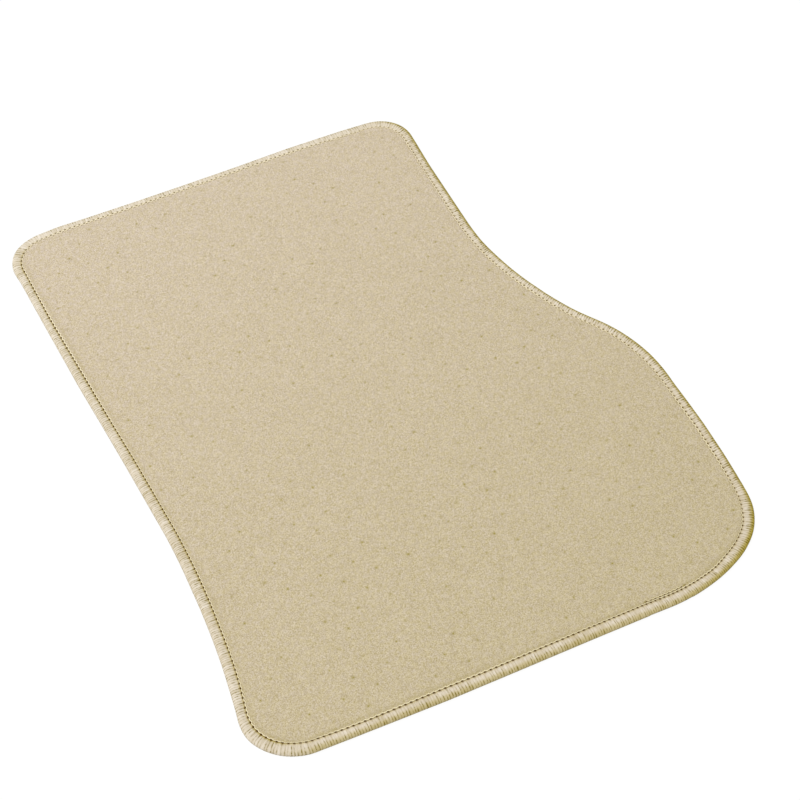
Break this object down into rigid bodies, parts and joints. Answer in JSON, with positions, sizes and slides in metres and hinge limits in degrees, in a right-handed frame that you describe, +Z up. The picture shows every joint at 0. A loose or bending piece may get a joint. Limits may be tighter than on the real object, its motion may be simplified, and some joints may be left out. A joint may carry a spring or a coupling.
{
  "type": "floor mat",
  "caption": "Flat carpeted car floor mat with rounded corners, an S-shaped right side, a cut-pile face, an overlocked edge and a nibbed rubber backing that grips the floor.",
  "frame": {"origin": "middle of the mat's outline, on the floor under the nib tips", "axes": "+X to the mat's right side, +Y to its toe edge, +Z up through the pile"},
  "size_m": [0.5518, 0.6984, 0.009],
  "materials": {
    "pile": "beige cut pile",
    "backing_cloth": "woven cloth",
    "latex": "dried latex coat",
    "nib_rubber": "matte moulded rubber",
    "edge_yarn": "soft sheen bulked yarn",
    "needle_thread": "twisted sewing thread"
  },
  "bodies": {
    "root": {"pile_face": "pile", "primary_backing": "backing_cloth", "latex_coat": "latex", "nib_backing": "nib_rubber", "upper_looper_yarn": "edge_yarn", "lower_looper_yarn": "edge_yarn", "needle_stitches": "needle_thread"}
  },
  "joints": []
}
